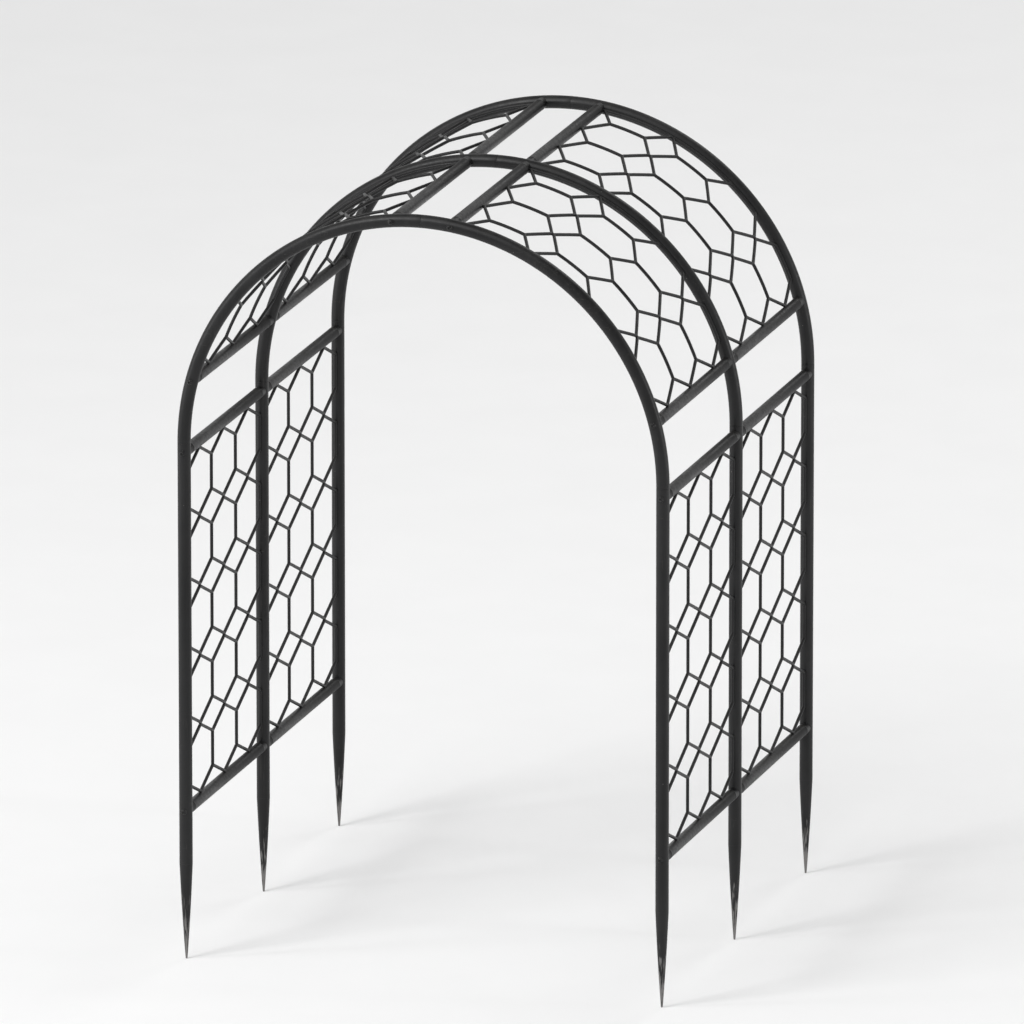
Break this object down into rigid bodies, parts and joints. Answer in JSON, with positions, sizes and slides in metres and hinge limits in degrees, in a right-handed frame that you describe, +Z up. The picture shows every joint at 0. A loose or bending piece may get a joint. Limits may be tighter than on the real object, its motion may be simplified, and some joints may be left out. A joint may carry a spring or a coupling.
{
  "type": "metal trellis arch",
  "caption": "Round-topped garden walkway arch of black steel tube hoops joined by rails, with hexagon rod lattice on the sides and over the haunches and spiked feet.",
  "frame": {"origin": "on the plane of the spike tips, midway between the six legs", "axes": "+X across the walkway to the right, +Y along the walkway from the front hoop to the back hoop, +Z up"},
  "size_m": [1.54, 1.4528, 2.382],
  "materials": {
    "hoop_tube": "satin black powder coat on steel tube",
    "rail_tube": "satin black powder coat on steel tube",
    "lattice_rod": "satin black powder coat on round steel rod",
    "ground_spike": "black powder coat, scuffed and dusty towards the tip",
    "bolt": "black-coated steel, slightly worn on the dome"
  },
  "bodies": {
    "root": {"arch_lattice_back_bay_left": "lattice_rod", "arch_lattice_back_bay_right": "lattice_rod", "arch_lattice_front_bay_left": "lattice_rod", "arch_lattice_front_bay_right": "lattice_rod", "crown_rail_back_bay_left": "rail_tube", "crown_rail_back_bay_right": "rail_tube", "crown_rail_bolt_back_left": "bolt", "crown_rail_bolt_back_right": "bolt", "crown_rail_bolt_front_left": "bolt", "crown_rail_bolt_front_right": "bolt", "crown_rail_front_bay_left": "rail_tube", "crown_rail_front_bay_right": "rail_tube", "foot_rail_back_bay_left": "rail_tube", "foot_rail_back_bay_right": "rail_tube", "foot_rail_bolt_back_left": "bolt", "foot_rail_bolt_back_right": "bolt", "foot_rail_bolt_front_left": "bolt", "foot_rail_bolt_front_right": "bolt", "foot_rail_front_bay_left": "rail_tube", "foot_rail_front_bay_right": "rail_tube", "ground_spike_back_left": "ground_spike", "ground_spike_back_right": "ground_spike", "ground_spike_front_left": "ground_spike", "ground_spike_front_right": "ground_spike", "ground_spike_middle_left": "ground_spike", "ground_spike_middle_right": "ground_spike", "half_arch_back_left": "hoop_tube", "half_arch_back_right": "hoop_tube", "half_arch_front_left": "hoop_tube", "half_arch_front_right": "hoop_tube", "half_arch_middle_left": "hoop_tube", "half_arch_middle_right": "hoop_tube", "haunch_rail_back_bay_left": "rail_tube", "haunch_rail_back_bay_right": "rail_tube", "haunch_rail_bolt_back_left": "bolt", "haunch_rail_bolt_back_right": "bolt", "haunch_rail_bolt_front_left": "bolt", "haunch_rail_bolt_front_right": "bolt", "haunch_rail_front_bay_left": "rail_tube", "haunch_rail_front_bay_right": "rail_tube", "leg_back_left": "hoop_tube", "leg_back_right": "hoop_tube", "leg_front_left": "hoop_tube", "leg_front_right": "hoop_tube", "leg_middle_left": "hoop_tube", "leg_middle_right": "hoop_tube", "side_lattice_back_bay_left": "lattice_rod", "side_lattice_back_bay_right": "lattice_rod", "side_lattice_front_bay_left": "lattice_rod", "side_lattice_front_bay_right": "lattice_rod", "side_rail_back_bay_left": "rail_tube", "side_rail_back_bay_right": "rail_tube", "side_rail_bolt_back_left": "bolt", "side_rail_bolt_back_right": "bolt", "side_rail_bolt_front_left": "bolt", "side_rail_bolt_front_right": "bolt", "side_rail_front_bay_left": "rail_tube", "side_rail_front_bay_right": "rail_tube"}
  },
  "joints": []
}
